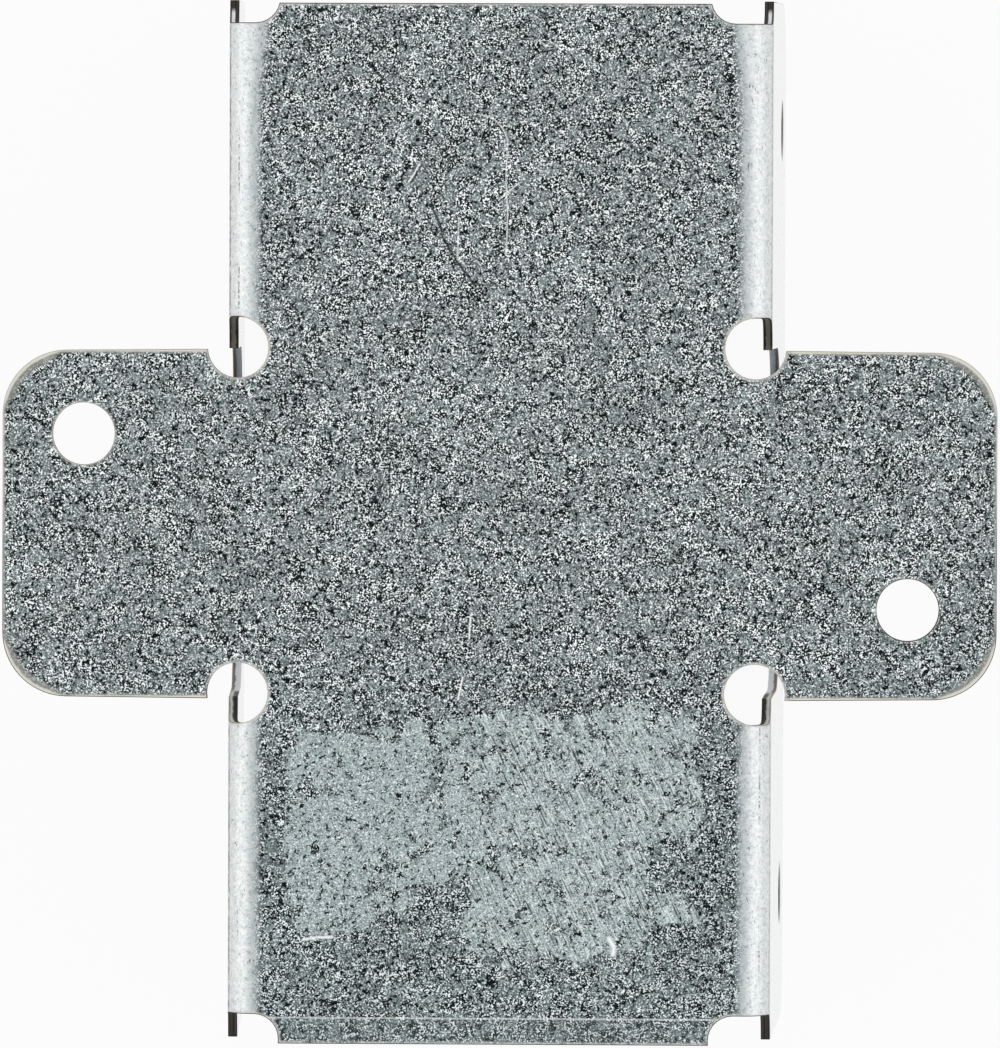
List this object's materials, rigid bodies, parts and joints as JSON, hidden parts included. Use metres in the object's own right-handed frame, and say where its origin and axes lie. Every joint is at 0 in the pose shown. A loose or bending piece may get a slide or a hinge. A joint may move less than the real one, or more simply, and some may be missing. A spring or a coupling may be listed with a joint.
{
  "type": "rigid tie connector",
  "caption": "Folded galvanised sheet connector: a channel that grips a timber, with flat side arms cut from its flanges to tie it to a crossing member.",
  "frame": {"origin": "middle of the flanges' far edges, on the surface that the part stands on", "axes": "+Z square out of the cross plate's outer face, +Y along the folds, +X along the side arms"},
  "size_m": [0.1714, 0.18, 0.0667],
  "materials": {
    "galvanised_sheet": "hot-dip galvanised sheet with a fine speckle, smoother and brighter at the folds, bare brown cut edges"
  },
  "bodies": {
    "root": {"folded_sheet": "galvanised_sheet"}
  },
  "joints": []
}
